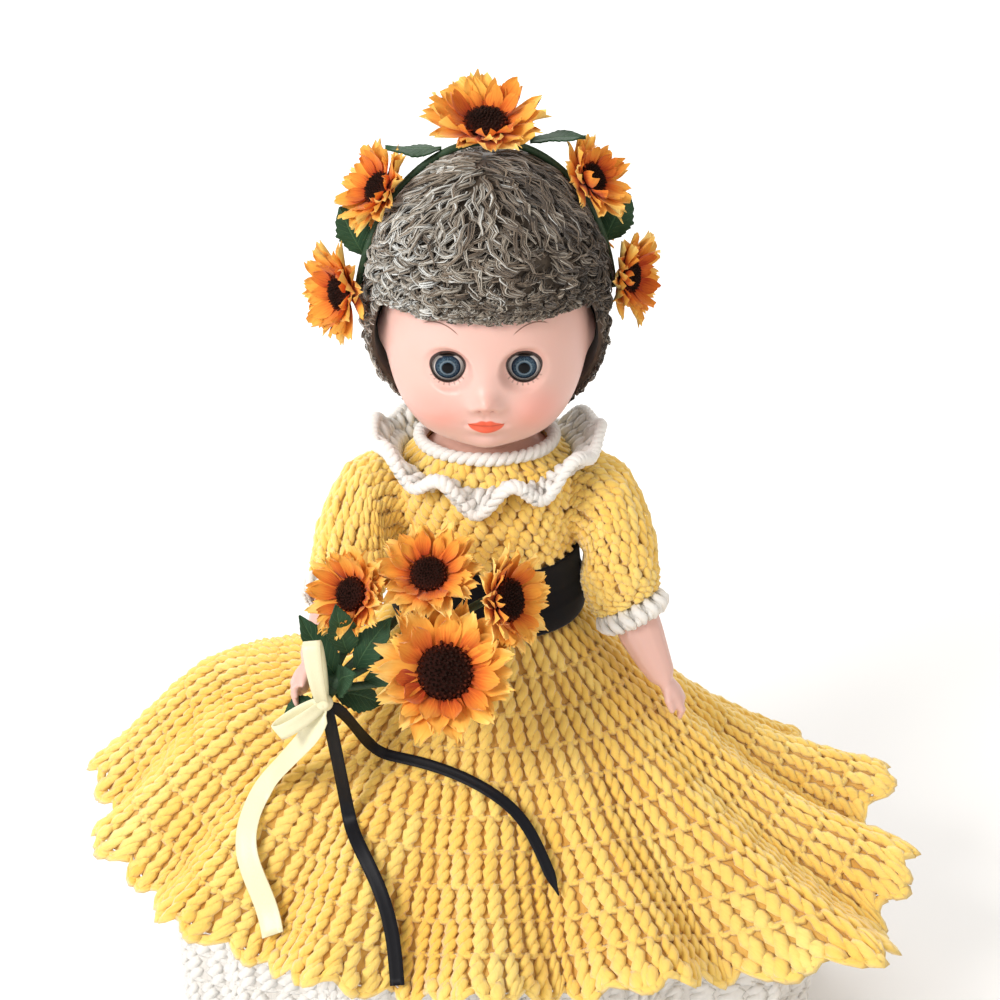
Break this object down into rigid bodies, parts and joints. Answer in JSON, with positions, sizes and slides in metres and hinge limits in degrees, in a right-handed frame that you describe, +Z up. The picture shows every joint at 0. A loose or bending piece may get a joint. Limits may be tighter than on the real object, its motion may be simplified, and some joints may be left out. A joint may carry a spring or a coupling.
{
  "type": "dressed doll",
  "caption": "Standing vinyl sleep-eye doll in a crocheted dress with a wide skirt, sash and flower crown, holding a posy of cloth sunflowers.",
  "frame": {"origin": "on the floor, at the middle of the skirt's width and depth", "axes": "+Z up, the doll faces -Y, its left hand is at +X"},
  "size_m": [0.3671, 0.2484, 0.422],
  "materials": {
    "skin": "soft vinyl, satin",
    "hard_vinyl": "blow-moulded vinyl",
    "eye_white": "glossy white with a painted blue-grey iris",
    "lash_black": "stiff fibre",
    "case_ivory": "moulded",
    "lead": "dull grey lead",
    "hair_grey": "ash-grey frosted fibre in curls",
    "wire": "green taped wire",
    "petal": "cloth, yellow to orange",
    "disc": "flocked, near-black brown",
    "leaf": "dark green cloth",
    "yarn_yellow": "crocheted yarn",
    "yarn_white": "crocheted yarn",
    "velvet_black": "velvet",
    "satin_black": "satin",
    "satin_cream": "satin",
    "pearl": "pearly"
  },
  "bodies": {
    "dressed_body": {"torso": "hard_vinyl", "bodice": "yarn_yellow", "collar_band": "yarn_white", "collar_ruffle": "yarn_white", "sash": "velvet_black", "sash_bow": "velvet_black", "skirt": "yarn_yellow", "petticoat": "yarn_white", "back_button_lower": "pearl", "back_button_upper": "pearl"},
    "head": {"head": "skin", "hair": "hair_grey", "headband": "wire", "left_eye_case": "case_ivory", "right_eye_case": "case_ivory", "crown_leaf_1": "leaf", "crown_leaf_2": "leaf", "crown_leaf_3": "leaf", "crown_leaf_4": "leaf", "crown_flower_1_petals": "petal", "crown_flower_1_centre": "disc", "crown_flower_2_petals": "petal", "crown_flower_2_centre": "disc", "crown_flower_3_petals": "petal", "crown_flower_3_centre": "disc", "crown_flower_4_petals": "petal", "crown_flower_4_centre": "disc", "crown_flower_5_petals": "petal", "crown_flower_5_centre": "disc", "crown_flower_6_petals": "petal", "crown_flower_6_centre": "disc", "crown_flower_7_petals": "petal", "crown_flower_7_centre": "disc"},
    "left_eye": {"left_eyeball": "eye_white", "left_lashes": "lash_black", "left_eye_weight": "lead"},
    "right_eye": {"right_eyeball": "eye_white", "right_lashes": "lash_black", "right_eye_weight": "lead"},
    "left_arm": {"left_arm": "skin", "left_sleeve": "yarn_yellow", "left_cuff": "yarn_white"},
    "right_arm": {"right_arm": "skin", "right_sleeve": "yarn_yellow", "right_cuff": "yarn_white", "posy_stems": "wire", "cream_bow": "satin_cream", "cream_streamer": "satin_cream", "black_streamer_long": "satin_black", "black_streamer_short": "satin_black", "posy_flower_1_petals": "petal", "posy_flower_1_centre": "disc", "posy_flower_2_petals": "petal", "posy_flower_2_centre": "disc", "posy_flower_3_petals": "petal", "posy_flower_3_centre": "disc", "posy_flower_4_petals": "petal", "posy_flower_4_centre": "disc"},
    "left_leg": {"left_leg": "skin"},
    "right_leg": {"right_leg": "skin"}
  },
  "joints": [
    {"name": "neck_turn", "type": "hinge", "parent": "dressed_body", "child": "head", "pos_m": [0, 0.02597, 0.285], "axis": [0, 0, 1], "range_deg": [-75, 75]},
    {"name": "left_eye_sleep", "type": "hinge", "parent": "head", "child": "left_eye", "pos_m": [0.015, -0.00261, 0.3228], "axis": [1, 0, 0], "range_deg": [0, 60]},
    {"name": "right_eye_sleep", "type": "hinge", "parent": "head", "child": "right_eye", "pos_m": [-0.015, -0.00261, 0.3228], "axis": [1, 0, 0], "range_deg": [0, 60]},
    {"name": "left_shoulder", "type": "hinge", "parent": "dressed_body", "child": "left_arm", "pos_m": [0.04, 0.02597, 0.246], "axis": [-1, 0, 0], "range_deg": [0, 95]},
    {"name": "right_shoulder", "type": "hinge", "parent": "dressed_body", "child": "right_arm", "pos_m": [-0.04, 0.02597, 0.246], "axis": [-1, 0, 0], "range_deg": [0, 20]},
    {"name": "left_hip", "type": "hinge", "parent": "dressed_body", "child": "left_leg", "pos_m": [0.014, 0.02597, 0.15], "axis": [-1, 0, 0], "range_deg": [-25, 25]},
    {"name": "right_hip", "type": "hinge", "parent": "dressed_body", "child": "right_leg", "pos_m": [-0.014, 0.02597, 0.15], "axis": [-1, 0, 0], "range_deg": [-25, 25]}
  ]
}
